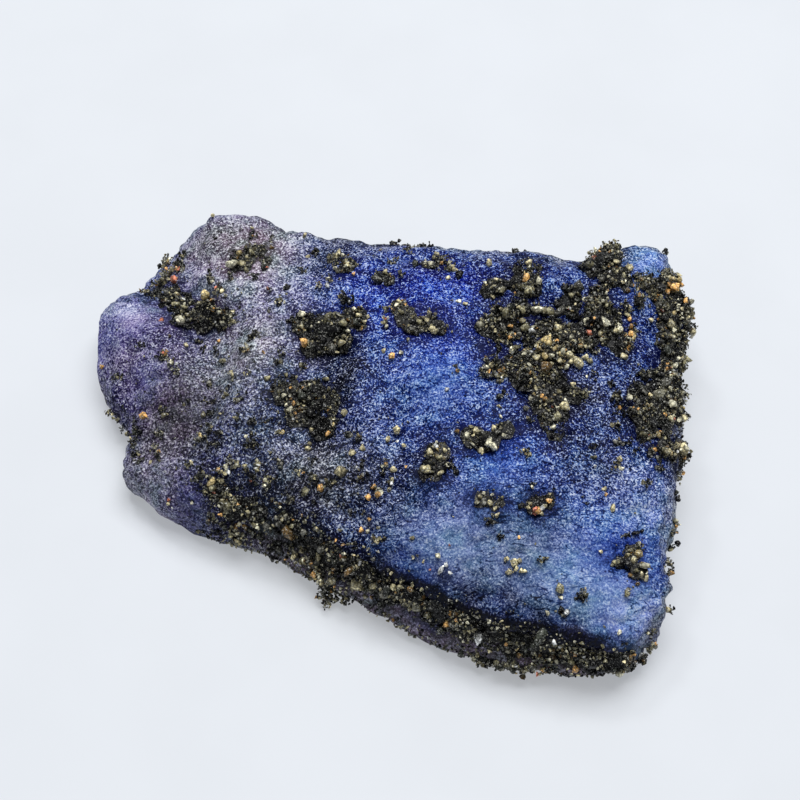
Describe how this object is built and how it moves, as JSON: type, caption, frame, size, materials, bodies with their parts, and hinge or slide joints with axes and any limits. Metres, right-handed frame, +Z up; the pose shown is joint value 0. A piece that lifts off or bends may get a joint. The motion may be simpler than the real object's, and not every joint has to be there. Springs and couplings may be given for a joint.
{
  "type": "rough sapphire",
  "caption": "Thick, flat-lying rough blue sapphire crystal with a frosted, pitted skin, and dark sand stuck to it in clumps and crusts.",
  "frame": {"origin": "centre of the bounding box in plan, on the plane of the flat underside", "axes": "+X along the crystal's length towards its wide end, +Y towards its back edge, +Z up out of its top"},
  "size_m": [0.0308, 0.0276, 0.0074],
  "materials": {
    "sapphire": "frosted, sugary natural crystal skin, blue with lilac and purple zones, opaque to the eye",
    "sand": "dark mixed sand grains, mostly black and grey-green with tan, orange and clear ones, stuck together"
  },
  "bodies": {
    "root": {"sapphire": "sapphire", "sand_patch_upper_right": "sand", "sand_crust_right_edge": "sand", "sand_clump_back_hollow": "sand", "sand_clump_front_hollow": "sand", "sand_clump_notch": "sand", "sand_clump_upper_lobe": "sand", "sand_clump_back_left": "sand", "sand_ball_back": "sand", "sand_clump_back_middle": "sand", "sand_fork": "sand", "sand_clump_centre": "sand", "sand_clump_centre_right": "sand", "sand_clump_low_middle": "sand", "sand_clump_low_right": "sand", "sand_clump_near_corner": "sand", "sand_crust_front_left": "sand", "sand_crust_front": "sand", "sand_crust_back": "sand"}
  },
  "joints": []
}
